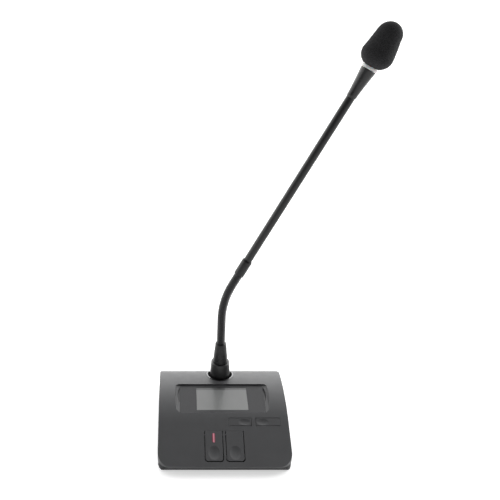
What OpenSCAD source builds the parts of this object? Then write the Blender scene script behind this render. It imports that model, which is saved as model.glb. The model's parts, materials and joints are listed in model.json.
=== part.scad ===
// Desktop conference microphone on a flexible gooseneck.
// Frame: millimetres, +Z up, front of the base toward -Y, the neck leans toward +X.
// Origin: centre of the underside of the rubber pad that the base stands on.

/* [Base] */
// Width of the base
base_w = 130; // [126:1:140]
// Y of the front lip of the top shell
front_y = -60; // [-62:1:-58]
// Y of the back wall
back_y = 65; // [64:1:66]
// Y where the top surface turns down toward the back wall
ridge_y = 53; // [52:0.5:54]
// Height of the crest of the top surface
crest_z = 39.2; // [37:0.5:42]
// Y of that crest
crest_y = 30; // [28:1:32]
// Radius of the curved part of the top surface, seen from the side
top_r = 115; // [105:5:125]
// Slope of the flat front part of the top surface, degrees
slope = 24.5; // [23:0.5:26]
// Height of the joint between the two shells
split_z = 8; // [7:0.5:9]
// Wall thickness of both shells
wall = 2; // [1.8:0.1:2.2]
// Corner radius of the top shell at the front, seen from above
lip_corner_r = 13.5; // [10:0.5:15]

/* [Microphone stem] */
// Y of the socket, the plug and the neck
socket_y = 48.5; // [48:0.5:49]
// Straight part of the flexible neck
neck_straight = 29.3; // [20:0.1:40]
// Radius of the bend in the flexible neck
neck_bend_r = 86; // [70:1:120]
// Lean of the stem after the bend, degrees from vertical
neck_lean = 27.6; // [15:0.1:35]
// Flexible part between the bend and the collar
neck_top = 12; // [8:1:20]
// Outer diameter of the flexible neck
neck_d = 8.6; // [7.6:0.2:9]
// Outer diameter of the rigid tube
tube_d = 8; // [7.6:0.1:8.1]
// Length of the rigid tube above the collar
tube_len = 180.9; // [120:1:220]

/* [Windscreen] */
// Largest diameter of the foam windscreen
foam_d = 29.2; // [27:0.1:32]
// Length of the foam windscreen
foam_len = 40.2; // [38:0.1:46]

/* [Keys] */
// Width of each large key
key_w = 17.5; // [16:0.5:18]
// Distance between the centres of the large keys
key_pitch = 20.6; // [20:0.1:21]
// Length of the large keys along the slope
key_len = 31; // [30:0.5:31]
// Gap between a key and the shell
key_gap = 0.45; // [0.3:0.05:0.5]

/* [Hidden] */
$fn = 48;
LINKS = 11;

foot_h = 1;                 // the shells start this far above the desk
rear_slope = 30;            // of the top surface behind the ridge
corner_r = 3.5;             // rear corners of both shells
bottom_front_y = -55;       // front edge of the underside, behind the lip
crest_centre_z = crest_z - top_r;
seam = 0.1;                 // hairline between two shells
fit = 0.02;                 // clearance of parts that don't move on each other
run = 0.05;                 // radial clearance of parts that do

// Display: a flat panel sunk below the curved top at its rear edge
panel_rear_y = 28.8;
panel_front_y = -9;
panel_half_w = 43.6;
panel_depth = 1.6;
panel_t = 1;
bevel_run = 3.2;            // shallow ramp beside the panel
bevel_rise = 0.7;
shelf_t = 1.8;
window_w = 52.4;
window_l = 30.4;
window_y = 10;

// Keys, measured in the plane of the front slope from the hinge seam at seam_y
seam_y = -27;
key_t = 1.8;
key_corner_r = 2.5;
key_seam = 0.15;
pin_r = 0.75;
pin_y = -2.2;
pin_z = -3.8;
lug_r = 1.6;
nub_y = -17;
board_z = -8.4;
board_t = 1.2;
nub_gap = 2.5;              // between the board and the foot of a key's nub
dome_h = 1.75;              // the nub reaches the dome at the end of its travel
small_rear = 13.4;
small_front = 5.5;
small_left_x = [5.1, 27.6];     // hinge end, free end
small_right_x = [57, 32.6];
small_pin_inset = 1.9;

// Socket and plug
boss_r = 15.9;
boss_z = 13;
well_r = 13.2;
well_z = 29.5;
trim_w = 1.2;               // polished trim round the mouth of the well
trim_proud = 0.35;
trim_seat = 0.8;
sleeve_r = 9.3;
sleeve_in_r = 8.1;
sleeve_len = 13;
contact_pcd_r = 4.2;
contact_r = 1.2;
pin_len = 19.4;
flange_r = 12.6;
body_z = 37.4;
body_top_z = 54.6;
boot_z = 54.62;
boot_r = 7.9;
neck_z0 = 78.7;

// Neck: distances along its centre line, from the top of the plug boot
arc_len = neck_bend_r * neck_lean * PI / 180;
flex_len = neck_straight + arc_len + neck_top;
pitch = flex_len / (LINKS + 1);
ball_r = 3.15;
cup_rim = -0.2;             // rim of a cup against the centre of its ball
skirt = 1.6;                // start of a link's outer wall above its ball centre
collar_len = 19.4;
collar_d = 10.2;
flare_s = flex_len + collar_len + tube_len;
flare_len = 27.6;
flare_r = 7.1;              // at the top of the flare
flare_lip_r = 4.5;          // where the flare starts, round the tube
ring_h = 2.8;
ring_r = 7.3;
foam_s = flare_s + flare_len + ring_h;
housing_r = 6;

// ---------- Curves of the base ----------

function slope_start_y() = crest_y - top_r * sin(slope);
function slope_start_z() = crest_centre_z + top_r * cos(slope);
function slope_z(y) = slope_start_z() - (slope_start_y() - y) * tan(slope);
function top_z(y) = y < slope_start_y() ? slope_z(y)
    : crest_centre_z + sqrt(top_r * top_r - (y - crest_y) * (y - crest_y));
function panel_tilt() = atan2(top_z(panel_rear_y) - panel_depth - top_z(panel_front_y),
                              panel_rear_y - panel_front_y);

// Rounded rectangle seen from above, with its own front and rear corner radii
module plan(w, y0, y1, r_front, r_rear) {
    mid = (y0 + y1) / 2;
    translate([-w / 2, y0 + r_front]) square([w, y1 - y0 - r_front - r_rear]);
    translate([-w / 2 + r_front, y0]) square([w - 2 * r_front, mid - y0]);
    translate([-w / 2 + r_rear, mid]) square([w - 2 * r_rear, y1 - mid]);
    for (side = [-1, 1]) {
        translate([side * (w / 2 - r_front), y0 + r_front]) circle(r_front);
        translate([side * (w / 2 - r_rear), y1 - r_rear]) circle(r_rear);
    }
}

// Extrudes a side view (x becomes Y, y becomes Z) across the width w
module across(w) {
    rotate([90, 0, 90]) translate([0, 0, -w / 2]) linear_extrude(w) children();
}

// Side view of the space under the top surface, moved inward by inset
module top_profile(inset) {
    r = top_r - inset;
    ty = crest_y - r * sin(slope);
    tz = crest_centre_z + r * cos(slope);
    front = front_y + inset;
    back = back_y - inset;
    polygon([[front, 0], [front, tz - (ty - front) * tan(slope)], [ty, tz], [ty, 0]]);
    intersection() {
        translate([crest_y, crest_centre_z]) circle(r, $fn = 256);
        translate([ty - 1, 0]) square([back - ty + 1, crest_z + 2]);
        translate([ridge_y, top_z(ridge_y)]) rotate(-rear_slope)
            translate([-2 * base_w, -2 * base_w - inset]) square([4 * base_w, 2 * base_w]);
    }
}

// Solid under the top surface, from z0 up
module top_solid(inset, z0) {
    intersection() {
        across(base_w) top_profile(inset);
        translate([0, 0, z0]) linear_extrude(crest_z)
            plan(base_w - 2 * inset, front_y + inset, back_y - inset,
                 lip_corner_r - inset, corner_r - inset);
    }
}

// Solid of the lower tray, with its front face leaning in toward the desk
module tray_solid(inset, z0, z1) {
    lean = (bottom_front_y - front_y - 0.6) / (split_z - foot_h);
    intersection() {
        across(base_w) polygon([
            [bottom_front_y + inset - (z0 - foot_h) * lean, z0],
            [bottom_front_y + inset - (z1 - foot_h) * lean, z1],
            [back_y - inset, z1], [back_y - inset, z0]]);
        translate([0, 0, z0]) linear_extrude(z1 - z0)
            plan(base_w - 0.4 - 2 * inset, front_y + 0.6 + inset, back_y - inset,
                 lip_corner_r - inset, corner_r - inset);
    }
}

module at_socket(z) { translate([0, socket_y, z]) children(); }

// Frame of the display panel: origin at its front edge, Y along it to the rear
module on_panel() {
    translate([0, panel_front_y, top_z(panel_front_y)]) rotate([panel_tilt(), 0, 0]) children();
}

// Frame of the front slope: origin at the hinge seam, Z out of the surface
module on_slope() {
    translate([0, seam_y, slope_z(seam_y)]) rotate([slope, 0, 0]) children();
}

// ---------- Base shells ----------

SCREWS = [[-38, -44], [38, -44], [-59.5, 45], [59.5, 45]];
pad_w = 96;
pad_l = 68;
pad_sunk = 0.5;
POSTS = [[-50, -16], [50, -16], [-50, 34], [50, 34]];
JACKS = [-36, 36];
jack_w = 16;
jack_h = 13.4;
jack_l = 15;
main_z = 9.4;

// Pocket over the display panel, open toward the front, and the seat of the panel
module panel_pocket() {
    rear = panel_rear_y - panel_front_y;
    rise = 14;
    ramp_x = panel_half_w + bevel_run;
    intersection() {
        on_panel() translate([0, rear + 1, 0]) rotate([90, 0, 0]) linear_extrude(rear + 13)
            polygon([[-panel_half_w, 0], [panel_half_w, 0], [ramp_x, bevel_rise],
                     [ramp_x + rise, bevel_rise + rise], [-ramp_x - rise, bevel_rise + rise],
                     [-ramp_x, bevel_rise]]);
        linear_extrude(2 * crest_z)
            plan(2 * (ramp_x + panel_depth), panel_front_y - 14, panel_rear_y, 2, 5);
    }
    on_panel() translate([0, 0, -panel_t]) linear_extrude(panel_t + 0.01) panel_outline(0);
}

module panel_outline(gap) {
    plan(2 * (panel_half_w - gap), gap, panel_rear_y - panel_front_y - 0.5 - gap, 0.5, 1.8);
}

// Block on the window, larger than it by mx and my on each side
module window_block(mx, my, z0, z1) {
    on_panel() translate([-window_w / 2 - mx, window_y - panel_front_y - window_l / 2 - my, z0])
        cube([window_w + 2 * mx, window_l + 2 * my, z1 - z0]);
}

module large_key_area(gap, front_gap) {
    for (side = [-1, 1]) translate([side * key_pitch / 2, 0])
        plan(key_w + 2 * gap, -key_len - front_gap, key_seam / 2, key_corner_r + gap, 0.1);
}

module small_key_area(x, gap) {
    lo = min(x[0], x[1]) - (x[0] < x[1] ? 0 : gap);
    hi = max(x[0], x[1]) + (x[0] < x[1] ? gap : 0);
    translate([lo, small_front - gap]) square([hi - lo, small_rear - small_front + 2 * gap]);
}

module shell_top() {
    color("dimgray") difference() {
        union() {
            difference() {
                top_solid(0, split_z);
                top_solid(wall, split_z - 1);
            }
            // boss round the socket
            intersection() {
                top_solid(wall / 2, split_z);
                at_socket(boss_z) cylinder(h = crest_z, r = boss_r);
            }
            // shelf under the display panel
            intersection() {
                top_solid(wall / 2, split_z);
                on_panel() translate([-panel_half_w - 4, -2, -panel_t - shelf_t])
                    cube([2 * panel_half_w + 8, panel_rear_y - panel_front_y + 6, shelf_t]);
            }
            for (p = SCREWS) intersection() {
                top_solid(wall / 2, split_z);
                translate([p[0], p[1], split_z]) cylinder(h = crest_z, r = 3.4);
            }
        }
        panel_pocket();
        window_block(0.8, 0.8, -6, 1);
        on_slope() translate([0, 0, -wall * 2]) linear_extrude(wall * 4) {
            large_key_area(key_gap, key_gap);
            small_key_area(small_left_x, key_gap);
            small_key_area(small_right_x, key_gap);
        }
        at_socket(well_z) cylinder(h = crest_z, r = well_r);
        at_socket(0) cylinder(h = crest_z, r = 11.05);
        at_socket(boss_z - 1) cylinder(h = well_z - 3 - boss_z + 1, r = boss_r - wall);
        difference() {
            at_socket(well_z) cylinder(h = crest_z, r = well_r + trim_w + fit);
            top_solid(trim_seat + fit, 0);
        }
        for (p = SCREWS) translate([p[0], p[1], 0]) cylinder(h = 14, r = 1.25);
        for (x = JACKS) translate([x - jack_w / 2 - 0.1, back_y - 5, main_z + 1.5])
            cube([jack_w + 0.2, 10, jack_h + 0.2]);
    }
}

module shell_bottom() {
    top = split_z - seam;
    color("#3a3b3d") difference() {
        union() {
            difference() {
                tray_solid(0, foot_h, top);
                tray_solid(wall, foot_h + wall, split_z + 1);
            }
            for (p = SCREWS) translate([p[0], p[1], foot_h]) cylinder(h = top - foot_h, r = 4.2);
            for (p = POSTS) translate([p[0], p[1], foot_h]) cylinder(h = main_z - foot_h - fit, r = 3.2);
        }
        for (p = SCREWS) translate([p[0], p[1], 0]) {
            cylinder(h = split_z, r = 1.5);
            cylinder(h = foot_h + 3, r = 2.9);
        }
        for (p = POSTS) translate([p[0], p[1], foot_h + wall]) cylinder(h = main_z, r = 1);
        linear_extrude(foot_h + pad_sunk) plan(pad_w + 0.2, -pad_l / 2 - 0.1, pad_l / 2 + 0.1, 6, 6);
    }
}

module rubber_pad() {
    color("black") linear_extrude(foot_h + pad_sunk - fit) plan(pad_w, -pad_l / 2, pad_l / 2, 6, 6);
}

// Pan-head screw pointing up (+Z), z = 0 under its head, with a cross recess
module screw(head_r, head_h, r, len) {
    difference() {
        union() {
            translate([0, 0, -head_h]) cylinder(h = head_h, r = head_r);
            cylinder(h = len, r = r);
        }
        for (turn = [0, 90]) rotate(turn)
            translate([-head_r * 0.6, -0.25, -head_h - 1]) cube([head_r * 1.2, 0.5, 1.6]);
    }
}

module case_screws() {
    color("silver") for (p = SCREWS) translate([p[0], p[1], foot_h + 3 - fit])
        screw(2.6, 1.6, 1.2, 9.5);
}

module ballast_plate() {
    color("gray") translate([0, 0, foot_h + wall + fit]) linear_extrude(2) difference() {
        translate([-45, -36]) square([90, 90]);
        for (p = POSTS) translate(p) circle(4.5);
    }
}

// ---------- Electronics ----------

module main_board() {
    color("darkgreen") translate([0, 0, main_z]) linear_extrude(1.5 - fit) difference() {
        translate([-56, -22]) square([112, 84]);
        for (p = POSTS) translate(p) circle(1.2);
    }
}

module board_screws() {
    color("silver") for (p = POSTS) translate([p[0], p[1], main_z + 1.5])
        rotate([180, 0, 0]) screw(2, 1.2, 0.95, 7);
}

module bus_jacks() {
    color("#222222") for (x = JACKS) translate([x - jack_w / 2, back_y - jack_l, main_z + 1.5]) difference() {
        cube([jack_w, jack_l + 0.4, jack_h]);
        translate([2, 4, 4]) cube([jack_w - 4, jack_l, 7]);
        translate([jack_w / 2 - 3, 4, 2.4]) cube([6, jack_l, 2]);
    }
}

module jack_contacts() {
    color("gold") for (x = JACKS, i = [-3.5:1:3.5])
        translate([x + i * 1.1 - 0.25, back_y - jack_l + 4, main_z + 11.2]) cube([0.5, 9, 1.2]);
}

module display_panel() {
    color("#3b3c3f") intersection() {
        top_solid(0, split_z);
        difference() {
            intersection() {
                on_panel() translate([0, 0, -panel_t]) linear_extrude(panel_t) panel_outline(0.06);
                top_solid(0, split_z);
            }
            window_block(0.15, 0.15, -3, 1);
        }
    }
}

module display_window() {
    color("#9aa0a0") window_block(0, 0, -panel_t, -0.15);
}

module lcd_module() {
    color("#7f8a84") window_block(3, 1.5, -panel_t - shelf_t - 3, -panel_t - shelf_t - fit);
}

module lcd_board() {
    color("darkgreen") difference() {
        window_block(9, 2, -panel_t - shelf_t - 4.6, -panel_t - shelf_t - 3 - fit);
        lcd_screw_places() translate([0, 0, -20]) cylinder(h = 30, r = 1.2);
    }
}

module lcd_screw_places() {
    on_panel() for (sx = [-1, 1], sy = [-1, 1])
        translate([sx * (window_w / 2 + 6), window_y - panel_front_y + sy * (window_l / 2 - 3), 0])
            children();
}

// Screws with their own spacer sleeves, up into the shelf's underside
module lcd_screws() {
    color("silver") lcd_screw_places() {
        translate([0, 0, -panel_t - shelf_t - 4.62]) screw(1.9, 1, 1, 1.7);
        translate([0, 0, -panel_t - shelf_t - 3 + fit]) cylinder(h = 3 - 2 * fit, r = 1.8);
    }
}

// ---------- Keys ----------

// Oval finger dish: a torus surface that leaves an oval len by wid, depth deep
module dish(len, wid, depth) {
    r_len = (len * len / 4 + depth * depth) / (2 * depth);
    r_wid = (wid * wid / 4 + depth * depth) / (2 * depth);
    translate([0, 0, r_len - depth]) rotate([0, 90, 0]) rotate_extrude($fn = 96) intersection() {
        translate([r_len - r_wid, 0]) circle(r_wid, $fn = 96);
        translate([0, -r_wid]) square([r_len + 1, 2 * r_wid]);
    }
}

// Skin of the top surface, as thick as a key
module key_skin() {
    difference() {
        top_solid(0, split_z);
        top_solid(key_t, split_z - 1);
    }
}

// A lug that hangs under a key and carries its bore; the pin runs along X
module lug(w) {
    translate([-w / 2, 0, 0]) rotate([0, 90, 0]) cylinder(h = w, r = lug_r);
    translate([-w / 2, -lug_r, 0]) cube([w, 2 * lug_r, -pin_z - key_t / 2]);
}

module large_key(side) {
    centre = side * key_pitch / 2;
    difference() {
        union() {
            intersection() {
                key_skin();
                on_slope() translate([centre, 0, -6]) linear_extrude(12)
                    plan(key_w, -key_len, -key_seam / 2, key_corner_r, 0.1);
            }
            on_slope() {
                for (s = [-1, 1]) translate([centre + s * 5.4, pin_y, pin_z]) lug(3);
                translate([centre, nub_y, board_z + board_t + nub_gap])
                    cylinder(h = -board_z - board_t - nub_gap - key_t / 2, r = 1.6);
            }
        }
        on_slope() translate([centre - key_w, pin_y, pin_z]) rotate([0, 90, 0])
            cylinder(h = 2 * key_w, r = pin_r + run);
        on_slope() translate([centre, -key_len + 8.2, 0]) dish(14.3, 12.1, 0.8);
    }
}

// Slot or bar with round ends along Y, in the mic key
module light_bar(w, len, z0, z1) {
    on_slope() translate([-key_pitch / 2, -7.2, z0]) linear_extrude(z1 - z0) {
        translate([-w / 2, -len / 2 + w / 2]) square([w, len - w]);
        for (s = [-1, 1]) translate([0, s * (len / 2 - w / 2)]) circle(w / 2);
    }
}

module mic_key() {
    color("#404145") difference() {
        large_key(-1);
        light_bar(2.9, 9.7, -4, 2);
    }
}

module mic_key_light() {
    color("red") light_bar(2.8, 9.6, -key_t - 0.4, 0.12);
}

module right_key() {
    color("#404145") large_key(1);
}

// Small key: x[0] is its hinge end, x[1] its free end
module small_key(x) {
    into = x[0] < x[1] ? 1 : -1;
    hinge_x = x[0] + into * key_seam;
    mid_y = (small_front + small_rear) / 2;
    pin_x = x[0] + into * small_pin_inset;
    difference() {
        union() {
            intersection() {
                key_skin();
                on_slope() translate([min(hinge_x, x[1]), small_front, -6])
                    cube([abs(x[1] - hinge_x), small_rear - small_front, 12]);
            }
            on_slope() {
                translate([pin_x, mid_y, pin_z]) rotate(90) lug(small_rear - small_front - 1);
                translate([x[1] - into * 7, mid_y, board_z + board_t + nub_gap])
                    cylinder(h = -board_z - board_t - nub_gap - key_t / 2, r = 1.6);
            }
        }
        on_slope() translate([pin_x, 20, pin_z]) rotate([90, 0, 0]) cylinder(h = 30, r = pin_r + run);
        on_slope() translate([x[1] - into * 6.6, mid_y, 0]) rotate(90) dish(12, 6.8, 0.55);
    }
}

module small_key_left() { color("#404145") small_key(small_left_x); }
module small_key_right() { color("#404145") small_key(small_right_x); }

module large_key_pin() {
    color("silver") on_slope() translate([-22.4, pin_y, pin_z]) rotate([0, 90, 0])
        cylinder(h = 44.8, r = pin_r);
}

function small_pin_x(x) = x[0] + (x[0] < x[1] ? 1 : -1) * small_pin_inset;

module small_key_pins() {
    color("silver") on_slope() for (x = [small_left_x, small_right_x])
        translate([small_pin_x(x), small_rear + 2, pin_z]) rotate([90, 0, 0])
            cylinder(h = small_rear - small_front + 4, r = pin_r);
}

function nubs() = [
    [-key_pitch / 2, nub_y], [key_pitch / 2, nub_y],
    [small_left_x[1] - 7, (small_front + small_rear) / 2],
    [small_right_x[1] + 7, (small_front + small_rear) / 2]
];

module key_board_outline() {
    translate([-24, -21.5]) square([48, 24]);
    translate([-24, 0]) square([85, 15.6]);
}

// Plate with posts that hold the pins, fixed on the key board
module key_frame() {
    plate_z = board_z + board_t + fit;
    color("#55565a") on_slope() difference() {
        union() {
            translate([0, 0, plate_z]) linear_extrude(1) key_board_outline();
            for (x = [-20.7, 0, 20.7]) translate([x - 1.2, pin_y - 2, plate_z]) cube([2.4, 4, 5]);
            for (x = [small_left_x, small_right_x], y = [small_front - 2.1, small_rear + 0.6])
                translate([small_pin_x(x) - 1.8, y, plate_z]) cube([3.6, 1.5, 4.7]);
        }
        for (p = nubs()) translate([p[0], p[1], plate_z - 1]) cylinder(h = 6, r = 4.2);
        translate([-30, pin_y, pin_z]) rotate([0, 90, 0]) cylinder(h = 60, r = pin_r + fit);
        for (x = [small_left_x, small_right_x])
            translate([small_pin_x(x), 20, pin_z]) rotate([90, 0, 0]) cylinder(h = 30, r = pin_r + fit);
    }
}

module key_board() {
    color("darkgreen") on_slope() translate([0, 0, board_z]) linear_extrude(board_t) key_board_outline();
}

module key_domes() {
    color("lightgray") on_slope() for (p = nubs()) translate([p[0], p[1], board_z + board_t + fit]) {
        cylinder(h = 0.8, r = 3.6);
        cylinder(h = dome_h, r1 = 3, r2 = 2);
    }
}

// ---------- Socket in the base ----------

module contact_places() {
    for (turn = [30, 150, 270]) rotate(turn) translate([contact_pcd_r, 0, 0]) children();
}

module socket_ring() {
    color("silver") difference() {
        intersection() {
            top_solid(-trim_proud, well_z);
            at_socket(well_z) cylinder(h = crest_z, r = well_r + trim_w);
        }
        top_solid(trim_seat, 0);
        at_socket(0) cylinder(h = 2 * crest_z, r = well_r);
    }
}

module socket_housing() {
    color("#2a2a2c") difference() {
        union() {
            at_socket(14) cylinder(h = well_z - 14 - 0.1, r = 11);
            at_socket(well_z - 5.2) cylinder(h = 2.1, r = 13.6);
        }
        at_socket(16) cylinder(h = crest_z, r = sleeve_r + 0.08);
    }
}

module socket_insert() {
    color("#1d1d1f") at_socket(16) difference() {
        cylinder(h = well_z - 16 - 0.4, r = sleeve_in_r - 0.08);
        contact_places() translate([0, 0, 2]) cylinder(h = crest_z, r = contact_r + 0.6);
    }
}

module socket_contacts() {
    color("gold") at_socket(18.1) contact_places() difference() {
        cylinder(h = well_z - 19.7, r = contact_r + 0.55);
        translate([0, 0, 0.8]) cylinder(h = 16, r = contact_r + 0.06);
    }
}

// ---------- Plug at the foot of the microphone ----------

module plug_shell() {
    color("#1c1c1e") at_socket(0) difference() {
        rotate_extrude() polygon([
            [0, well_z + 0.1], [flange_r, well_z + 0.1], [flange_r, well_z + 1.3], [11.1, well_z + 1.8],
            [10.9, body_z], [9.6, body_top_z - 0.4], [9.2, body_top_z], [0, body_top_z]]);
        translate([0, 0, well_z - 1]) cylinder(h = 9.1, r = sleeve_r + fit);
        translate([0, 0, well_z]) cylinder(h = body_top_z - well_z - 3, r = 7.2);
        translate([0, 0, well_z]) cylinder(h = 30, r = 5.2);
    }
}

module plug_sleeve() {
    color("silver") at_socket(well_z - sleeve_len) difference() {
        cylinder(h = sleeve_len + 8, r = sleeve_r);
        translate([0, 0, -1]) cylinder(h = sleeve_len + 12, r = sleeve_in_r);
    }
}

module plug_insert() {
    color("#26262a") at_socket(well_z + 0.2) difference() {
        cylinder(h = 6, r = sleeve_in_r - fit);
        contact_places() translate([0, 0, -1]) cylinder(h = 9, r = contact_r + fit);
    }
}

module plug_pins() {
    color("gold") at_socket(well_z - 10.4) contact_places() cylinder(h = pin_len, r = contact_r);
}

module plug_boot() {
    color("#161617") at_socket(0) difference() {
        rotate_extrude() polygon([
            [0, boot_z - 6], [5.1, boot_z - 6], [5.1, boot_z], [boot_r, boot_z],
            [boot_r, boot_z + 0.6], [5.7, neck_z0 - 1.2], [neck_d / 2 + 0.3, neck_z0 - fit], [0, neck_z0 - fit]]);
        translate([0, 0, boot_z - 2]) cylinder(h = 40, r = neck_d / 2 - 1);
    }
}

// ---------- Gooseneck ----------

function neck_turn(s) = max(0, min(neck_lean, (s - neck_straight) / neck_bend_r * 180 / PI));
function neck_x(s) = neck_bend_r * (1 - cos(neck_turn(s)))
    + max(0, s - neck_straight - arc_len) * sin(neck_lean);
function neck_z(s) = neck_z0 + min(s, neck_straight) + neck_bend_r * sin(neck_turn(s))
    + max(0, s - neck_straight - arc_len) * cos(neck_lean);
function hinge_s(k) = (k + 0.5) * pitch;

module at_neck(s) {
    translate([neck_x(s), socket_y, neck_z(s)]) rotate([0, neck_turn(s), 0]) children();
}

// Places children at hinge k, aimed at hinge k + 1
module at_link(k) {
    x0 = neck_x(hinge_s(k));
    z0 = neck_z(hinge_s(k));
    aim = atan2(neck_x(hinge_s(k + 1)) - x0, neck_z(hinge_s(k + 1)) - z0);
    translate([x0, socket_y, z0]) rotate([0, aim, 0]) children();
}

function link_span(k) = norm([neck_x(hinge_s(k + 1)) - neck_x(hinge_s(k)),
                              neck_z(hinge_s(k + 1)) - neck_z(hinge_s(k))]);

// Cup that holds the next ball, centred on the origin and opening upward
module cup(wall_from) {
    difference() {
        translate([0, 0, wall_from]) cylinder(h = cup_rim - wall_from, r = neck_d / 2);
        sphere(ball_r + run);
    }
}

module ball_and_stalk(top) {
    sphere(ball_r);
    cylinder(h = top, r = 2.1);
}

module link(k) {
    color("#2b2b2e") at_link(k - 1) {
        span = link_span(k - 1);
        difference() {
            union() {
                ball_and_stalk(skirt + 0.5);
                translate([0, 0, skirt]) cylinder(h = span + cup_rim - skirt, r = neck_d / 2);
            }
            translate([0, 0, span]) sphere(ball_r + run);
        }
    }
}

module neck_root() {
    color("#2b2b2e") at_neck(hinge_s(0)) {
        cup(-pitch / 2);
        translate([0, 0, -pitch / 2 - 14]) cylinder(h = 14.2, r = neck_d / 2 - 1 - fit);
    }
}

module neck_tip() {
    color("#2b2b2e") at_neck(hinge_s(LINKS)) {
        ball_and_stalk(skirt + 0.5);
        translate([0, 0, skirt]) cylinder(h = pitch / 2 - skirt - fit, r = neck_d / 2);
        translate([0, 0, skirt]) cylinder(h = pitch / 2 + 5, r = 2.9);
    }
}

// ---------- Stem and head ----------

module collar() {
    color("#1f1f21") at_neck(flex_len) difference() {
        rotate_extrude() polygon([
            [0, 0], [neck_d / 2 + 0.1, 0], [collar_d / 2, 1.2], [collar_d / 2, collar_len - 1.6],
            [tube_d / 2 + 0.3, collar_len], [0, collar_len]]);
        translate([0, 0, -1]) cylinder(h = collar_len + 2, r = 2.9 + fit);
        translate([0, 0, 7]) cylinder(h = collar_len, r = tube_d / 2 + fit);
    }
}

module stem_tube() {
    color("#1f1f21") at_neck(flex_len + 7 + fit) difference() {
        cylinder(h = flare_s - flex_len - 7 - 2 * fit, r = tube_d / 2);
        translate([0, 0, -1]) cylinder(h = flare_s, r = tube_d / 2 - 1);
    }
}

module head_flare() {
    color("#1a1a1c") at_neck(flare_s) difference() {
        rotate_extrude() polygon([
            [0, -8], [tube_d / 2 - 1 - fit, -8], [tube_d / 2 - 1 - fit, 0], [tube_d / 2, 0],
            for (t = [0:0.25:1]) [flare_lip_r + (flare_r - flare_lip_r) * pow(t, 1.3), 1.5 + (flare_len - 1.6) * t],
            [0, flare_len - 0.1]]);
        translate([0, 0, -10]) cylinder(h = flare_len + 20, r = 1.8);
        translate([0, 0, flare_len - 6]) cylinder(h = 8, r = 4.4);
    }
}

module light_ring() {
    color("#e8e8ea") at_neck(flare_s + flare_len) difference() {
        cylinder(h = ring_h - 0.1, r = ring_r);
        translate([0, 0, -1]) cylinder(h = ring_h + 2, r = 5.2);
    }
}

module ring_board() {
    color("darkgreen") at_neck(flare_s + flare_len - 4) difference() {
        cylinder(h = 1, r = 4.3);
        translate([0, 0, -1]) cylinder(h = 3, r = 1.6);
    }
}

module capsule_housing() {
    color("#2e2e30") at_neck(foam_s) difference() {
        union() {
            cylinder(h = 24, r = housing_r);
            translate([0, 0, -ring_h - 2]) cylinder(h = ring_h + 3, r = 4.3);
            translate([0, 0, -ring_h + fit]) cylinder(h = ring_h, r = 5.1);
        }
        translate([0, 0, -ring_h - 3]) cylinder(h = 30, r = 2);
        translate([0, 0, 10]) cylinder(h = 12.6, r = housing_r - 0.9);
        for (z = [13:3:20], turn = [0:60:150]) translate([0, 0, z]) rotate([90, 0, turn])
            translate([0, 0, -8]) cylinder(h = 16, r = 0.9);
        for (turn = [0:60:300]) rotate(turn) translate([3, 0, 20]) cylinder(h = 6, r = 0.9);
        translate([0, 0, 20]) cylinder(h = 6, r = 0.9);
    }
}

module capsule() {
    color("silver") at_neck(foam_s + 11) difference() {
        cylinder(h = 6.5, r = 4.9);
        translate([0, 0, 6.1]) cylinder(h = 1, r = 3.9);
    }
}

// An egg with a flattened underside: an ellipse below, a smaller circle on top, a cone between
module windscreen() {
    r_low = foam_d / 2;
    r_top = 11.5;
    low = 10.5;
    half_h = 12;
    top = foam_len - r_top;
    tilt = asin((r_low - r_top) / (top - low));
    color("#2a2a2b") at_neck(foam_s) difference() {
        rotate_extrude($fn = 64) intersection() {
            union() {
                translate([0, low]) scale([1, half_h / r_low]) circle(r_low, $fn = 96);
                translate([0, low]) intersection() {
                    circle(r_low, $fn = 96);
                    square(r_low + 1);
                }
                translate([0, top]) circle(r_top, $fn = 96);
                polygon([[0, low + r_low * sin(tilt)], [r_low * cos(tilt), low + r_low * sin(tilt)],
                         [r_top * cos(tilt), top + r_top * sin(tilt)], [0, top + r_top * sin(tilt)]]);
            }
            square([r_low + 1, foam_len + 1]);
        }
        translate([0, 0, -1]) cylinder(h = 25.3, r = housing_r + 0.3);
    }
}

shell_top();
shell_bottom();
rubber_pad();
case_screws();
ballast_plate();
main_board();
board_screws();
bus_jacks();
jack_contacts();
display_panel();
display_window();
lcd_module();
lcd_board();
lcd_screws();
key_frame();
key_board();
key_domes();
large_key_pin();
small_key_pins();
mic_key();
mic_key_light();
right_key();
small_key_left();
small_key_right();
socket_ring();
socket_housing();
socket_insert();
socket_contacts();
plug_shell();
plug_sleeve();
plug_insert();
plug_pins();
plug_boot();
neck_root();
link(1);  // link_01
link(2);  // link_02
link(3);  // link_03
link(4);  // link_04
link(5);  // link_05
link(6);  // link_06
link(7);  // link_07
link(8);  // link_08
link(9);  // link_09
link(10);  // link_10
link(11);  // link_11
neck_tip();
collar();
stem_tube();
head_flare();
light_ring();
ring_board();
capsule_housing();
capsule();
windscreen();
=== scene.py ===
"""Looks of the gooseneck conference microphone. Metres, same frame as the CAD."""

import json
import math

import bmesh
import bpy
import numpy as np
from mathutils import Matrix, Vector, noise


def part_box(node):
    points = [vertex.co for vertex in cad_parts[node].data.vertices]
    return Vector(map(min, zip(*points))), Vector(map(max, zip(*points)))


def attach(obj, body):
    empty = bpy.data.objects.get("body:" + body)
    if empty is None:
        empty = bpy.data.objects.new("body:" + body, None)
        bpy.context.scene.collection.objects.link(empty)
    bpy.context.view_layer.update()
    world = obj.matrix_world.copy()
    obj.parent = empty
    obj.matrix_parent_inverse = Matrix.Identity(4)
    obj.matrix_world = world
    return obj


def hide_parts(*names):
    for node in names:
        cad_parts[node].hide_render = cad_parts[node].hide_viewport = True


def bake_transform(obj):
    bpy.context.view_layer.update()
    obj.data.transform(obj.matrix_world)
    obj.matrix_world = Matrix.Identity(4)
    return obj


MM = 0.001

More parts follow.
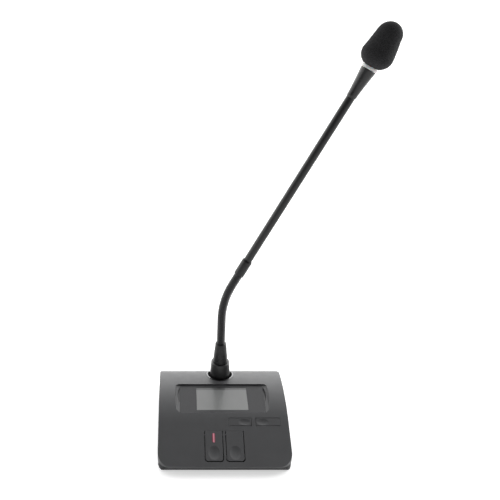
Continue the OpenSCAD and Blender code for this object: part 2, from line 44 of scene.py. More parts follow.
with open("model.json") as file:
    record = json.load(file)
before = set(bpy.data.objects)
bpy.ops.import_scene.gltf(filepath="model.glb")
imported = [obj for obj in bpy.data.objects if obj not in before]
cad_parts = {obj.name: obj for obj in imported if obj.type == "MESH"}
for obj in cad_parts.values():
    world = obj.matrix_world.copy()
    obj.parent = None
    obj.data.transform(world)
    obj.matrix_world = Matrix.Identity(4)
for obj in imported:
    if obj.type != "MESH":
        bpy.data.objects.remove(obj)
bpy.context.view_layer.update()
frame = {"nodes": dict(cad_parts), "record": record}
record = frame["record"]
slots = {row["node"]: row["material_slot"] for row in record["subparts"]}
body_of_node = {n: b for b, nodes in record["behaviour"]["bodies"].items() for n in nodes}
joints = {j["name"]: j for j in record["behaviour"]["joints"]}


# ---------- Materials ----------

class Shader:
    """A node material with a principled shader, built up by short calls."""

    def __init__(self, name, colour, rough, **sockets):
        self.material = bpy.data.materials.new(name)
        self.material.use_nodes = True
        self.tree = self.material.node_tree
        self.main = self.tree.nodes["Principled BSDF"]
        self.main.inputs["Base Color"].default_value = (*colour, 1)
        self.main.inputs["Roughness"].default_value = rough
        for socket, value in sockets.items():
            self.main.inputs[socket.replace("_", " ")].default_value = value
        self.colour = colour
        self.rough = rough
        self.coords = self.node("ShaderNodeTexCoord").outputs["Object"]
        self.normal = None

    def node(self, kind, **values):
        new = self.tree.nodes.new(kind)
        for key, value in values.items():
            setattr(new, key, value)
        return new

    def link(self, a, b):
        self.tree.links.new(a, b)

    def noise(self, size, detail=2.0, stretch=(1, 1, 1)):
        """Noise whose features are about size metres across."""
        texture = self.node("ShaderNodeTexNoise")
        texture.inputs["Scale"].default_value = 1 / size
        texture.inputs["Detail"].default_value = detail
        source = self.coords
        if stretch != (1, 1, 1):
            mapping = self.node("ShaderNodeMapping")
            mapping.inputs["Scale"].default_value = stretch
            self.link(source, mapping.inputs["Vector"])
            source = mapping.outputs["Vector"]
        self.link(source, texture.inputs["Vector"])
        return texture.outputs["Fac"]

    def cells(self, size):
        """Distance from the middle of foam-like cells about size metres across."""
        texture = self.node("ShaderNodeTexVoronoi", feature="F1")
        texture.inputs["Scale"].default_value = 1 / size
        self.link(self.coords, texture.inputs["Vector"])
        return texture.outputs["Distance"]

    def ramp(self, value, low, high, start=0.3, end=0.7):
        """Colour or grey from low to high as value goes from start to end."""
        ramp = self.node("ShaderNodeValToRGB")
        ramp.color_ramp.elements[0].position = start
        ramp.color_ramp.elements[1].position = end
        ramp.color_ramp.elements[0].color = (*low, 1)
        ramp.color_ramp.elements[1].color = (*high, 1)
        self.link(value, ramp.inputs["Fac"])
        return ramp.outputs["Color"]

    def mottle(self, size, amount):
        """Varies the base colour by amount, either way."""
        low = [c * (1 - amount) for c in self.colour]
        high = [min(1, c * (1 + amount)) for c in self.colour]
        self.link(self.ramp(self.noise(size, 4), low, high), self.main.inputs["Base Color"])
        return self

    def scuff(self, size, amount, stretch=(1, 1, 1)):
        """Varies the roughness by amount, either way."""
        spread = self.node("ShaderNodeMapRange")
        spread.inputs["From Min"].default_value = 0.3
        spread.inputs["From Max"].default_value = 0.7
        spread.inputs["To Min"].default_value = self.rough - amount
        spread.inputs["To Max"].default_value = self.rough + amount
        self.link(self.noise(size, 3, stretch), spread.inputs["Value"])
        self.link(spread.outputs["Result"], self.main.inputs["Roughness"])
        return self

    def bump(self, height, depth, strength=1.0):
        """Adds relief of depth metres from a height between 0 and 1."""
        node = self.node("ShaderNodeBump")
        node.inputs["Distance"].default_value = depth
        node.inputs["Strength"].default_value = strength
        self.link(height, node.inputs["Height"])
        if self.normal:
            self.link(self.normal, node.inputs["Normal"])
        self.normal = node.outputs["Normal"]
        self.link(self.normal, self.main.inputs["Normal"])
        return self

    def soft_edges(self, radius):
        """Rounds sharp edges in the shading by radius metres."""
        node = self.node("ShaderNodeBevel", samples=4)
        node.inputs["Radius"].default_value = radius
        self.normal = node.outputs["Normal"]
        self.link(self.normal, self.main.inputs["Normal"])
        return self


def moulded(name, colour, rough=0.5, grain=0.45 * MM, relief=0.012 * MM, **sockets):
    """Injection-moulded plastic with a fine eroded texture."""
    s = Shader(name, colour, rough, **sockets)
    s.soft_edges(0.25 * MM)
    s.mottle(18 * MM, 0.05)
    s.scuff(6 * MM, 0.04)
    return s.bump(s.noise(grain, 3), relief)


def painted(name, colour, rough=0.35, orange_peel=1.2 * MM, relief=0.006 * MM, **sockets):
    """Sprayed metal: a faint orange peel and slightly uneven gloss."""
    s = Shader(name, colour, rough, **sockets)
    s.soft_edges(0.2 * MM)
    s.mottle(9 * MM, 0.08)
    s.scuff(4 * MM, 0.05)
    return s.bump(s.noise(orange_peel, 2), relief)


def metal(name, colour, rough=0.3, grain=(1, 1, 14), **sockets):
    """Bare or plated metal with drawn or turned grain."""
    s = Shader(name, colour, rough, Metallic=1.0, **sockets)
    s.soft_edges(0.15 * MM)
    s.mottle(5 * MM, 0.06)
    s.scuff(1.5 * MM, 0.08, grain)
    return s.bump(s.noise(0.5 * MM, 2, grain), 0.004 * MM)


ANTHRACITE = (0.05, 0.0508, 0.0535)
SATIN_BLACK = (0.022, 0.022, 0.0235)
DEEP_BLACK = (0.008, 0.008, 0.0086)

MATERIALS = {
    "shell": moulded("anthracite_moulding", ANTHRACITE, 0.42, Specular_IOR_Level=0.55),
    "shell_lower": moulded("anthracite_tray", (0.018, 0.018, 0.0192), 0.5, Specular_IOR_Level=0.2),
    "key": moulded("anthracite_keys", ANTHRACITE, 0.42, 0.4 * MM, 0.01 * MM, Specular_IOR_Level=0.55),
    "frame_plastic": moulded("frame_moulding", (0.012, 0.012, 0.013), 0.6, Specular_IOR_Level=0.2),
    "jack_plastic": moulded("black_moulding", (0.018, 0.018, 0.02), 0.4),
    "foot_rubber": moulded("foot_rubber", (0.02, 0.02, 0.02), 0.8, 0.3 * MM, 0.02 * MM),
    "dome_silicone": moulded("silicone", (0.5, 0.5, 0.48), 0.55, 0.3 * MM, 0.01 * MM,
                             Subsurface_Weight=0.3, Subsurface_Scale=0.5 * MM),
    "plug_black": painted("plug_paint", DEEP_BLACK, 0.34, Specular_IOR_Level=0.62),
    "boot_black": painted("boot_paint", DEEP_BLACK, 0.3, Specular_IOR_Level=0.34),
    "collar_black": painted("collar_paint", DEEP_BLACK, 0.36, Specular_IOR_Level=0.34),
    "tube_black": painted("tube_paint", DEEP_BLACK, 0.38, Specular_IOR_Level=0.4),
    "flare_black": painted("flare_paint", DEEP_BLACK, 0.3, Specular_IOR_Level=0.46),
    "housing_black": painted("housing_paint", SATIN_BLACK, 0.4),
    "neck_steel": painted("hose_coating", (0.022, 0.022, 0.024), 0.4, 0.6 * MM, 0.01 * MM),
    "screw_steel": metal("zinc_plate", (0.55, 0.56, 0.58), 0.32),
    "ballast_steel": metal("rolled_steel", (0.42, 0.42, 0.43), 0.45, (1, 10, 1)),
    "pin_steel": metal("drawn_wire", (0.6, 0.6, 0.62), 0.22, (12, 1, 1)),
    "sleeve_nickel": metal("nickel_plate", (0.66, 0.63, 0.58), 0.2),
    "contact_gold": metal("gold_flash", (0.9, 0.62, 0.25), 0.22),
    "capsule_metal": metal("capsule_can", (0.75, 0.75, 0.77), 0.25),
}


def panel_material():
    """Satin lacquered sheet around the display."""
    s = Shader("satin_panel", (0.03, 0.03, 0.0325), 0.42, Specular_IOR_Level=0.34)
    s.soft_edges(0.12 * MM)
    s.mottle(25 * MM, 0.04)
    s.scuff(8 * MM, 0.03)
    return s.bump(s.noise(0.2 * MM, 2), 0.004 * MM)


REAR_SHADE_START = 3.2 * MM        # the display's painted rear shade begins here, measured from the rear
REAR_SHADE_FULL = 2.4 * MM        # and is fully dark here


def display_material():
    """Blank grey display behind a glossy cover, with a dark band of painted shade along its rear,
    standing in for the shadow of the opening's rear wall.
    """
    s = Shader("display_grey", (0.14, 0.144, 0.142), 0.3, Coat_Weight=0.5, Coat_Roughness=0.12)
    active = s.ramp(s.noise(12 * MM, 3), (0.135, 0.139, 0.137), (0.147, 0.151, 0.149))
    split = s.node("ShaderNodeSeparateXYZ")
    s.link(s.coords, split.inputs["Vector"])
    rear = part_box("display_window")[1][1]
    # The band along the rear edge is painted shade: it stands in for the shadow of the opening's rear
    # wall.
    rear_shade = s.node("ShaderNodeMapRange")
    rear_shade.inputs["From Min"].default_value = rear - REAR_SHADE_START
    rear_shade.inputs["From Max"].default_value = rear - REAR_SHADE_FULL
    s.link(split.outputs["Y"], rear_shade.inputs["Value"])
    mix = s.node("ShaderNodeMix", data_type="RGBA")
    s.link(rear_shade.outputs["Result"], mix.inputs["Factor"])
    s.link(active, mix.inputs[6])
    # Dark colour of the painted shade along the rear edge.
    mix.inputs[7].default_value = (0.06, 0.062, 0.062, 1)
    s.link(mix.outputs[2], s.main.inputs["Base Color"])
    return s


def board_material():
    """Green solder mask over copper tracks."""
    s = Shader("solder_mask", (0.015, 0.11, 0.045), 0.35)
    tracks = s.node("ShaderNodeTexBrick")
    tracks.inputs["Scale"].default_value = 60
    tracks.inputs["Mortar Size"].default_value = 0.03
    tracks.inputs["Color1"].default_value = (0.012, 0.1, 0.04, 1)
    tracks.inputs["Color2"].default_value = (0.015, 0.12, 0.05, 1)
    tracks.inputs["Mortar"].default_value = (0.03, 0.2, 0.08, 1)
    s.link(s.coords, tracks.inputs["Vector"])
    s.link(tracks.outputs["Color"], s.main.inputs["Base Color"])
    s.bump(tracks.outputs["Fac"], 0.02 * MM)
    return s


def lit_bar_material():
    """Frosted red light guide, lit from below: pale core, deep red rim."""
    s = Shader("red_light_guide", (0.3, 0.06, 0.09), 0.35)
    s.soft_edges(0.3 * MM)
    low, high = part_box("mic_key_light")
    middle = (low[0] + high[0]) / 2
    half = (high[0] - low[0]) / 2
    split = s.node("ShaderNodeSeparateXYZ")
    s.link(s.coords, split.inputs["Vector"])
    across = s.node("ShaderNodeMapRange")
    across.inputs["From Min"].default_value = middle - half
    across.inputs["From Max"].default_value = middle + half
    s.link(split.outputs["X"], across.inputs["Value"])
    fold = s.node("ShaderNodeMath", operation="PINGPONG")
    s.link(across.outputs["Result"], fold.inputs[0])
    fold.inputs[1].default_value = 0.5
    s.link(s.ramp(fold.outputs["Value"], (0.16, 0.012, 0.03), (0.5, 0.2, 0.25), 0.1, 0.45),
           s.main.inputs["Base Color"])
    s.link(s.ramp(fold.outputs["Value"], (0.3, 0.01, 0.05), (1.0, 0.42, 0.5), 0.1, 0.45),
           s.main.inputs["Emission Color"])
    s.main.inputs["Emission Strength"].default_value = 0.13
    s.scuff(2 * MM, 0.05)
    return s


def ring_material():
    """Frosted white light guide, unlit."""
    s = Shader("frosted_ring", (0.5, 0.5, 0.505), 0.38, Subsurface_Weight=0.4, Subsurface_Scale=1.5 * MM)
    s.soft_edges(0.2 * MM)
    s.mottle(3 * MM, 0.06)
    s.scuff(1 * MM, 0.05)
    return s.bump(s.noise(0.25 * MM, 2), 0.006 * MM)


def trim_material():
    """Dark polished metal of the trim around the socket."""
    s = Shader("polished_trim", (0.16, 0.16, 0.163), 0.2, Metallic=1.0)
    s.soft_edges(0.2 * MM)
    s.mottle(4 * MM, 0.1)
    s.scuff(2 * MM, 0.04)
    return s


def foam_material():
    """Open-cell foam: pores painted darker than the lighter walls between them, as painted shade in the
    hollows, with a soft sheen.
    """
    s = Shader("open_cell_foam", (0.014, 0.014, 0.0148), 0.95, Sheen_Weight=0.05, Sheen_Roughness=0.6,
               Specular_IOR_Level=0.08)
    walls = s.cells(0.75 * MM)
    fine = s.cells(0.4 * MM)
    both = s.node("ShaderNodeMath", operation="MULTIPLY")
    s.link(walls, both.inputs[0])
    s.link(fine, both.inputs[1])
    # Darker in the pores, where the bump is lowest: painted shade in the hollows.
    colour = s.ramp(both.outputs["Value"], (0.006, 0.006, 0.0065), (0.026, 0.026, 0.0273), 0.02, 0.35)
    s.link(colour, s.main.inputs["Base Color"])
    s.bump(both.outputs["Value"], 0.3 * MM, 0.8)
    return s


MATERIALS.update({
    "panel": panel_material(),
    "window": display_material(),
    "lcd": moulded("display_glass", (0.2, 0.21, 0.2), 0.2),
    "board": board_material(),
    "key_light": lit_bar_material(),
    "light_ring": ring_material(),
    "socket_ring": trim_material(),
    "foam": foam_material(),
})


def dress(obj, slot):
    """Gives an object the material of a slot, on every face."""
    obj.data.materials.clear()
    obj.data.materials.append(MATERIALS[slot].material)


# ---------- Mesh helpers ----------

def new_object(name, mesh, body, slot, replaced=()):
    """A visible piece with its material. A piece that spans a joint is given no body here."""
    obj = bpy.data.objects.new(name, mesh)
    bpy.context.scene.collection.objects.link(obj)
    dress(obj, slot)
    if body:
        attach(obj, body)
    if replaced:
        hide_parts(*replaced)
    return obj


def smooth(mesh, angle=30):
    """Smooth shading, except over edges sharper than angle degrees."""
    for polygon in mesh.polygons:
        polygon.use_smooth = True
    mesh.set_sharp_from_angle(angle=math.radians(angle))


def looped_mesh(name, rings):
    """A closed skin over rings of points, where the last ring joins the first again."""
    count = len(rings[0])
    verts = [p for ring in rings for p in ring]
    faces = []
    for i in range(len(rings)):
        a = i * count
        b = ((i + 1) % len(rings)) * count
        for k in range(count):
            n = (k + 1) % count
            faces.append((a + k, a + n, b + n, b + k))
    mesh = bpy.data.meshes.new(name)
    mesh.from_pydata(verts, [], faces)
    mesh.update()
    smooth(mesh)
    return mesh


def filleted(points, radius, steps=4):
    """A closed outline of (r, h) points with its corners rounded."""
    out = []
    count = len(points)
    for i in range(count):
        before = Vector(points[i - 1])
        here = Vector(points[i])
        after = Vector(points[(i + 1) % count])
        reach = min(radius, (before - here).length * 0.45, (after - here).length * 0.45)
        start = here + (before - here).normalized() * reach
        end = here + (after - here).normalized() * reach
        for k in range(steps + 1):
            f = k / steps
            out.append(start * (1 - f) ** 2 + here * 2 * f * (1 - f) + end * f ** 2)
    return out


def turned(name, outline, foot, axis, node, radius, around=128):
    """A turned part from a closed outline in mm, standing at foot along axis."""
    turn = Vector((0, 0, 1)).rotation_difference(Vector(axis)).to_matrix()
    rounded = filleted(outline, radius)
    rings = []
    for k in range(around):
        a = 2 * math.pi * k / around
        rings.append([foot + turn @ (Vector((math.cos(a) * r, math.sin(a) * r, h)) * MM)
                      for r, h in rounded])
    mesh = looped_mesh(name, rings)
    bm = bmesh.new()
    bm.from_mesh(mesh)
    bmesh.ops.recalc_face_normals(bm, faces=bm.faces)
    bm.to_mesh(mesh)
    bm.free()
    smooth(mesh, 40)
    return new_object(name, mesh, body_of_node[node], slots[node], [node])


# ---------- Places on the stem ----------

UP = (0, 0, 1)


def stem_axis():
    """Direction of the straight stem above the gooseneck."""
    return Vector(joints["windscreen_pull"]["axis"]).normalized()


def stem_foot(node):
    """Lowest point of the axis of a part of the straight stem."""
    axis = stem_axis()
    home = Vector(joints["neck_fore_6"]["pos_m"])
    lowest = min((v.co - home).dot(axis) for v in frame["nodes"][node].data.vertices)
    return home + axis * lowest


def plug_foot():
    """Point on the desk below the plug."""
    socket = Vector(joints["neck_side_1"]["pos_m"])
    return Vector((socket.x, socket.y, 0))


# ---------- Gooseneck ----------

NECK_R = 4.3 * MM
NECK_HOLE_R = 2.4 * MM
HINGE_PAIRS = 6
RIBS_PER_LENGTH = 6          # between two hinges
RIB_STEPS = 8                # rings of points to a rib
RIB_DEPTH = 0.42 * MM
RIB_POWER = 6                # the higher, the narrower the groove
HOSE_AROUND = 40


def neck_hinges():
    names = []
    for n in range(1, HINGE_PAIRS + 1):
        names += [f"neck_side_{n}", f"neck_fore_{n}"]
    return [joints[n] for n in names]


def centre_line(points, samples):
    """Positions at even steps along a smooth curve through points."""
    slopes = np.gradient(points, axis=0)
    out = []
    for u in np.linspace(0, len(points) - 1, samples):
        i = min(int(u), len(points) - 2)
        f = u - i
        h00 = 2 * f**3 - 3 * f**2 + 1
        h10 = f**3 - 2 * f**2 + f
        h01 = -2 * f**3 + 3 * f**2
        h11 = f**3 - f**2
        out.append(h00 * points[i] + h10 * slopes[i] + h01 * points[i + 1] + h11 * slopes[i + 1])
    return np.array(out)


def hose_line(spots, steps):
    """Centre line of the whole hose, with steps samples to each length around a hinge."""
    low_end = spots[0] - (spots[1] - spots[0]) / 2
    high_end = spots[-1] + (spots[-1] - spots[-2]) / 2
    seams = [low_end] + [(a + b) / 2 for a, b in zip(spots, spots[1:])] + [high_end]
    knots = []
    for seam, spot in zip(seams, spots):
        knots += [seam, spot]
    knots.append(seams[-1])
    return centre_line(np.array(knots), steps * len(spots) + 1)


def hose_rings(line, tangent, start, stop):
    """Ribbed outside of one length, followed by the two ends of its bore."""
    side = np.array([0, 1.0, 0])
    turn = np.linspace(0, 2 * math.pi, HOSE_AROUND, endpoint=False)
    outside = []
    bore = []
    for i in range(start, stop + 1):
        across = np.cross(side, tangent[i])
        rib = i / RIB_STEPS + turn / (2 * math.pi)
        radius = NECK_R - RIB_DEPTH * np.abs(np.cos(math.pi * rib)) ** RIB_POWER
        outside.append([line[i] + r * (math.cos(a) * across + math.sin(a) * side)
                        for r, a in zip(radius, turn)])
        if i in (start, stop):
            bore.append([line[i] + NECK_HOLE_R * (math.cos(a) * across + math.sin(a) * side)
                         for a in turn])
    return outside + [bore[1], bore[0]]


def nodes_of_length(k, count):
    """CAD nodes that length k of count stands for."""
    nodes = []
    if k == 0:
        nodes.append("neck_root")
    if k == count - 1:
        nodes.append("neck_tip")
    if k > 0:
        nodes.append(f"link_{k:02d}")
    return nodes


def build_neck():
    """The wound hose, in twelve lengths that each lie over one hinge."""
    hinges = neck_hinges()
    steps = RIBS_PER_LENGTH * RIB_STEPS
    line = hose_line([np.array(j["pos_m"]) for j in hinges], steps)
    tangent = np.gradient(line, axis=0)
    tangent /= np.linalg.norm(tangent, axis=1)[:, None]
    for k, joint in enumerate(hinges):
        start = steps * k
        stop = start + steps
        name = f"gooseneck_hose_{k + 1:02d}"
        mesh = looped_mesh(name, hose_rings(line, tangent, start, stop))
        obj = new_object(name, mesh, None, "neck_steel", nodes_of_length(k, len(hinges)))
        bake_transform(obj)


# ---------- Windscreen ----------

FOAM_LENGTH = 40.1 * MM
FOAM_WIDE_R = 14.6 * MM      # at the widest part
FOAM_WIDE_H = 10.5 * MM      # height of the widest part above the foot
FOAM_LOW_HALF = 12 * MM      # half height of the ellipse below the widest part
FOAM_TIP_R = 11.5 * MM       # of the round top
FOAM_TIP_H = FOAM_LENGTH - FOAM_TIP_R
FOAM_BORE_R = 6.3 * MM
FOAM_BORE_DEPTH = 24.3 * MM
FOAM_EDGE = 0.15 * MM        # chamfer of the bore's mouth
FOAM_AROUND = 200
FOAM_LEAN = 0.8 * MM         # how far the foam's top has slipped to one side
FOAM_LEAN_START = 12 * MM    # height where the slip begins


def foam_profile():
    """Outline (r, h) from the top of the bore, over the foot, the widest part and the round top."""
    mouth_r = FOAM_BORE_R + 2 * FOAM_EDGE
    profile = [(FOAM_BORE_R, FOAM_BORE_DEPTH), (FOAM_BORE_R, FOAM_BORE_DEPTH * 0.5),
               (FOAM_BORE_R, 4 * FOAM_EDGE), (mouth_r, FOAM_EDGE)]
    tilt = math.asin((FOAM_WIDE_R - FOAM_TIP_R) / (FOAM_TIP_H - FOAM_WIDE_H))
    start = -math.asin((FOAM_WIDE_H - FOAM_EDGE) / FOAM_LOW_HALF)
    low_steps = 70
    for i in range(low_steps + 1):
        a = start + (tilt - start) * i / low_steps
        half = FOAM_LOW_HALF if a < 0 else FOAM_WIDE_R
        profile.append((FOAM_WIDE_R * math.cos(a), FOAM_WIDE_H + half * math.sin(a)))
    low = (FOAM_WIDE_R * math.cos(tilt), FOAM_WIDE_H + FOAM_WIDE_R * math.sin(tilt))
    high = (FOAM_TIP_R * math.cos(tilt), FOAM_TIP_H + FOAM_TIP_R * math.sin(tilt))
    side_steps = 40
    for i in range(1, side_steps):
        f = i / side_steps
        profile.append((low[0] + (high[0] - low[0]) * f, low[1] + (high[1] - low[1]) * f))
    top_steps = 60
    for i in range(top_steps):
        a = tilt + (math.pi / 2 - tilt) * i / top_steps
        profile.append((FOAM_TIP_R * math.cos(a), FOAM_TIP_H + FOAM_TIP_R * math.sin(a)))
    return profile


def foam_skin(bm):
    """Turns the profile into a closed skin, upright at the origin."""
    rings = []
    for r, h in foam_profile():
        turns = [2 * math.pi * k / FOAM_AROUND for k in range(FOAM_AROUND)]
        rings.append([bm.verts.new((r * math.cos(a), r * math.sin(a), h)) for a in turns])
    for a, b in zip(rings, rings[1:]):
        for k in range(FOAM_AROUND):
            n = (k + 1) % FOAM_AROUND
            bm.faces.new((a[k], a[n], b[n], b[k]))
    tip = bm.verts.new((0, 0, FOAM_LENGTH))
    roof = bm.verts.new((0, 0, FOAM_BORE_DEPTH))
    for k in range(FOAM_AROUND):
        n = (k + 1) % FOAM_AROUND
        bm.faces.new((rings[-1][k], rings[-1][n], tip))
        bm.faces.new((rings[0][n], rings[0][k], roof))
    bm.normal_update()


def foam_relief(p):
    """Height of the cut pores and the slow lumps at a point of the skin."""
    pores = noise.noise(p * 1400) * 0.10 * MM + noise.noise(p * 2600) * 0.07 * MM
    lumps = noise.noise(p * 120) * 0.12 * MM
    return pores + lumps - 0.12 * MM


def build_windscreen():
    """Foam ball over the capsule: an egg with cut pores on its surface."""
    bm = bmesh.new()
    foam_skin(bm)
    for vert in bm.verts:
        p = vert.co
        if math.hypot(p.x, p.y) > FOAM_BORE_R + 0.1 * MM or p.z > FOAM_BORE_DEPTH + 1 * MM:
            rise = (p.z - FOAM_LEAN_START) / (FOAM_TIP_H - FOAM_LEAN_START)
            slip = -FOAM_LEAN * min(1.0, max(0.0, rise)) ** 2
            vert.co = p + vert.normal * foam_relief(p) + Vector((slip, 0, 0))
    turn = Vector(UP).rotation_difference(stem_axis()).to_matrix().to_4x4()
    bm.transform(Matrix.Translation(stem_foot("windscreen")) @ turn)
    bmesh.ops.recalc_face_normals(bm, faces=bm.faces)
    mesh = bpy.data.meshes.new("foam_windscreen")
    bm.to_mesh(mesh)
    bm.free()
    for polygon in mesh.polygons:
        polygon.use_smooth = True
    obj = new_object("foam_windscreen", mesh, "windscreen", "foam", ["windscreen"])


# ---------- Turned parts of the stem, outlines in mm ----------

def build_plug():
    """Plug shell: a flange, a short band and a tapering body, hollow inside."""
    low = 29.6
    flange_top = 30.8
    band_top = 37.4
    top = 54.6
    flange_r = 12.6
    sleeve_r = 9.35
    cavity_r = 7.2
    cavity_low = 37.6
    cavity_top = 51.6
    boot_hole_r = 5.2
    outline = [(sleeve_r, low), (flange_r, low), (flange_r, flange_top), (11.1, flange_top + 0.5),
               (10.9, band_top), (9.6, top), (boot_hole_r, top), (boot_hole_r, cavity_top),
               (cavity_r, cavity_top), (cavity_r, cavity_low), (sleeve_r, cavity_low)]
    turned("plug_body", outline, plug_foot(), UP, "plug_shell", 0.5)


def build_boot():
    """Tapered strain relief with a spigot that sits in the plug."""
    hose_hole_r = 3.35
    spigot_r = 5.1
    spigot_low = 48.7
    seat = 54.64
    foot_r = 7.9
    top_r = 4.5
    top = 78.65
    outline = [(hose_hole_r, 52.7), (hose_hole_r, spigot_low), (spigot_r, spigot_low), (spigot_r, seat),
               (foot_r, seat), (7.85, 55.4), (5.7, 77.5), (top_r, top), (hose_hole_r, top)]
    turned("strain_relief", outline, plug_foot(), UP, "plug_boot", 0.3)


def build_collar():
    """Sleeve that joins the hose to the tube, chamfered at both ends."""
    sleeve_r = 5.1
    hose_hole_r = 2.95
    tube_hole_r = 4.05
    step = 7
    top = 19.38
    outline = [(hose_hole_r, 0), (4.4, 0), (sleeve_r, 1.2), (sleeve_r, 17.8), (4.3, top),
               (tube_hole_r, top), (tube_hole_r, step), (hose_hole_r, step)]
    turned("collar_sleeve", outline, stem_foot("collar"), stem_axis(), "collar", 0.25)


def build_tube():
    """Long thin-walled tube."""
    inner_r = 3.02
    outer_r = 3.98
    low = 0.03
    top = 193.2
    outline = [(inner_r, low), (outer_r, low), (outer_r, top), (inner_r, top)]
    turned("stem_pipe", outline, stem_foot("stem_tube"), stem_axis(), "stem_tube", 0.1)


def build_flare():
    """Horn that widens toward the head."""
    socket_r = 2.95
    bore_r = 1.85
    low = 0.03
    horn_low = 9.5
    horn_rise = 26
    top = horn_low + horn_rise
    lip_r = 4.5
    widening = 2.6
    points = 10
    outline = [(socket_r, low), (socket_r, 8), (3.98, 8.02)]
    for i in range(points + 1):
        outline.append((lip_r + widening * (i / points) ** 1.3, horn_low + horn_rise * i / points))
    outline += [(bore_r, top), (bore_r, low)]
    turned("flared_neck", outline, stem_foot("head_flare"), stem_axis(), "head_flare", 0.35)


def build_light_ring():
    """Slightly bulging light guide between the horn and the foam."""
    hole_r = 5.25
    edge_r = 7.15
    low = 0.02
    top = 2.68
    outline = [(hole_r, low), (edge_r, low), (7.29, 1.4), (edge_r, top), (hole_r, top)]
    turned("light_guide_ring", outline, stem_foot("light_ring"), stem_axis(), "light_ring", 0.5)


# ---------- Keys ----------

KEY_ROUNDING = 0.5 * MM
KEY_SIDE_CUT = 0.7 * MM      # how much narrower a large key is than its opening
KEY_FRONT_CUT = 0.6 * MM
SLOPE = math.radians(24.5)
SLOPE_UP = Vector((0, -math.sin(SLOPE), math.cos(SLOPE)))
SLOPE_ALONG = Vector((0, math.cos(SLOPE), math.sin(SLOPE)))
FLAT_ANGLE = math.radians(0.4)
CORNER_ANGLE = math.radians(28)


def on_top_rim(edge):
    """Whether an edge is a corner between a key's top face and its sides."""
    if len(edge.link_faces) != 2 or edge.calc_face_angle(0) <= CORNER_ANGLE:
        return False
    facing_up = [face.normal.dot(SLOPE_UP) > 0.8 for face in edge.link_faces]
    return any(facing_up) and not all(facing_up)


def rounded_key(node):
    """A copy of a key with merged flat faces and a rounded top rim, which replaces it."""
    bm = bmesh.new()
    bm.from_mesh(frame["nodes"][node].data)
    bmesh.ops.remove_doubles(bm, verts=bm.verts, dist=2e-6)
    bmesh.ops.dissolve_limit(bm, angle_limit=FLAT_ANGLE, verts=bm.verts, edges=bm.edges)
    rim = [edge for edge in bm.edges if on_top_rim(edge)]
    bmesh.ops.bevel(bm, geom=rim, offset=KEY_ROUNDING, segments=3, affect="EDGES",
                    profile=0.5, clamp_overlap=True)
    bmesh.ops.recalc_face_normals(bm, faces=bm.faces)
    mesh = bpy.data.meshes.new(node + "_rounded")
    bm.to_mesh(mesh)
    bm.free()
    smooth(mesh, 35)
    obj = new_object(node + "_rounded", mesh, body_of_node[node], slots[node], [node])
    normals = obj.modifiers.new("flat_faces_stay_flat", "WEIGHTED_NORMAL")
    normals.keep_sharp = True
    normals.weight = 100
    return obj


def trim_key(obj):
    """Widens the gap beside and in front of a key; its rear edge stays at the hinge seam."""
    verts = obj.data.vertices
    left = min(v.co.x for v in verts)
    right = max(v.co.x for v in verts)
    rear = max(v.co.dot(SLOPE_ALONG) for v in verts)
    front = min(v.co.dot(SLOPE_ALONG) for v in verts)
    middle = (left + right) / 2
    for vert in verts:
        from_rear = rear - vert.co.dot(SLOPE_ALONG)
        inward = (vert.co.x - middle) * KEY_SIDE_CUT / (right - left)
        backward = SLOPE_ALONG * from_rear * KEY_FRONT_CUT / (rear - front)
        vert.co = vert.co + backward - Vector((inward, 0, 0))


def build_keys():
    """The four keys with rounded rims."""
    for node in ("mic_key", "right_key"):
        trim_key(rounded_key(node))
    for node in ("small_key_left", "small_key_right"):
        rounded_key(node)


# ---------- Floor, lights and camera ----------

FLOOR_SIZE = 24
FLOOR_GLOW = 0.4             # as the object is lit by it
FLOOR_GLOW_SEEN = 0.55       # as the camera sees it

CEILING_LIGHT = 0.45         # overhead
WALL_FADE = 0.4538           # radians over which the wall grows e times brighter, going back
WALL_TURN_MAX = 0.88         # radians from the zenith where the wall stops growing brighter
SIDE_TILT = 0.25             # how much brighter the right is than the left
FLANK_LIGHT = 0.8            # extra light from both sides
BACKDROP = 1.0               # as the camera sees it

SOFTBOX_TARGET = (0, 0, 0.15)

CAMERA_PITCH = math.radians(25)
CAMERA_LEFT = 0.0438         # of the middle of the base
CAMERA_BACK = 0.455          # in front of the base
CAMERA_HEIGHT = 0.4494
SENSOR_MM = 36
LENS_MM = 45.3
LENS_SHIFT = 0.1409


def build_floor():
    """White acrylic table, lit a little from below."""
    bpy.ops.mesh.primitive_plane_add(size=FLOOR_SIZE)
    floor = bpy.context.object
    floor.name = "studio_floor"
    s = Shader("pale_floor", (0.8, 0.8, 0.8), 0.7, Specular_IOR_Level=0.1)
    s.main.inputs["Emission Color"].default_value = (1, 1, 1, 1)
    glow = s.node("ShaderNodeMapRange")
    glow.inputs["To Min"].default_value = FLOOR_GLOW
    glow.inputs["To Max"].default_value = FLOOR_GLOW_SEEN
    s.link(s.node("ShaderNodeLightPath").outputs["Is Camera Ray"], glow.inputs["Value"])
    s.link(glow.outputs["Result"], s.main.inputs["Emission Strength"])
    s.mottle(2, 0.01)
    floor.data.materials.append(s.material)


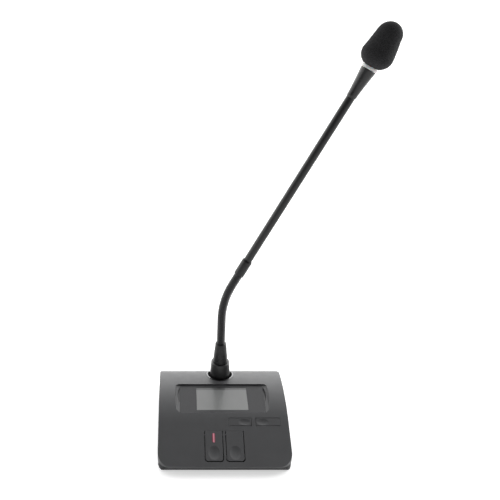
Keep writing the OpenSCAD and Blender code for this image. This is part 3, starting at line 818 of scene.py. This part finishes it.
def build_world():
    """Studio walls: brightest low down behind the object, dim overhead and in front."""
    world = bpy.data.worlds.new("studio")
    bpy.context.scene.world = world
    world.use_nodes = True
    nodes = world.node_tree.nodes
    links = world.node_tree.links
    coords = nodes.new("ShaderNodeTexCoord")
    split = nodes.new("ShaderNodeSeparateXYZ")
    links.new(coords.outputs["Generated"], split.inputs["Vector"])
    x, y, z = (split.outputs[axis] for axis in "XYZ")

    def maths(operation, *values):
        node = nodes.new("ShaderNodeMath")
        node.operation = operation
        for socket, value in zip(node.inputs, values):
            if isinstance(value, (int, float)):
                socket.default_value = value
            else:
                links.new(value, socket)
        return node.outputs["Value"]

    from_zenith = maths("MINIMUM", maths("ARCTAN2", y, z), WALL_TURN_MAX)
    glow = maths("MULTIPLY", maths("EXPONENT", maths("DIVIDE", from_zenith, WALL_FADE)), CEILING_LIGHT)
    side = maths("MULTIPLY_ADD", x, SIDE_TILT, 1.0)
    flank = maths("MULTIPLY", maths("POWER", maths("ABSOLUTE", x), 3.0), FLANK_LIGHT)
    light = maths("MULTIPLY", maths("ADD", glow, flank), side)
    seen = nodes.new("ShaderNodeLightPath").outputs["Is Camera Ray"]
    mix = nodes.new("ShaderNodeMix")
    links.new(seen, mix.inputs["Factor"])
    links.new(light, mix.inputs[2])
    mix.inputs[3].default_value = BACKDROP
    background = nodes["Background"]
    links.new(mix.outputs[0], background.inputs["Strength"])
    background.inputs["Color"].default_value = (1, 1, 1, 1)


def softbox(name, place, size, power):
    """A rectangular light at place, turned toward the object."""
    data = bpy.data.lights.new(name, "AREA")
    data.shape = "RECTANGLE"
    data.size, data.size_y = size
    data.energy = power
    light = bpy.data.objects.new(name, data)
    light.location = place
    aim = Vector(SOFTBOX_TARGET) - Vector(place)
    light.rotation_euler = aim.to_track_quat("-Z", "Y").to_euler()
    bpy.context.scene.collection.objects.link(light)


def build_camera():
    """Camera in front of the base and above it, framed by a lens shift to the side."""
    camera = bpy.data.objects.new("camera", bpy.data.cameras.new("camera"))
    bpy.context.scene.collection.objects.link(camera)
    base_low, base_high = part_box("shell_top")
    middle = (base_low[0] + base_high[0]) / 2
    camera.location = (middle - CAMERA_LEFT, base_low[1] - CAMERA_BACK, CAMERA_HEIGHT)
    camera.rotation_euler = (math.pi / 2 - CAMERA_PITCH, 0, 0)
    camera.data.sensor_width = SENSOR_MM
    camera.data.lens = LENS_MM
    camera.data.shift_x = LENS_SHIFT
    camera.data.clip_start = 0.01
    bpy.context.scene.camera = camera


# ---------- The whole object and its setting ----------

build_neck()
build_windscreen()
build_plug()
build_boot()
build_collar()
build_tube()
build_flare()
build_light_ring()
build_keys()

for name, obj in frame["nodes"].items():
    dress(obj, slots[name])

build_floor()
build_world()
softbox("right_softbox", (1.2, 0.3, 0.6), (0.4, 1.2), 6)
softbox("left_softbox", (-1.2, -0.1, 0.3), (0.3, 1.2), 2.5)
build_camera()

bpy.context.scene.view_settings.view_transform = "Standard"
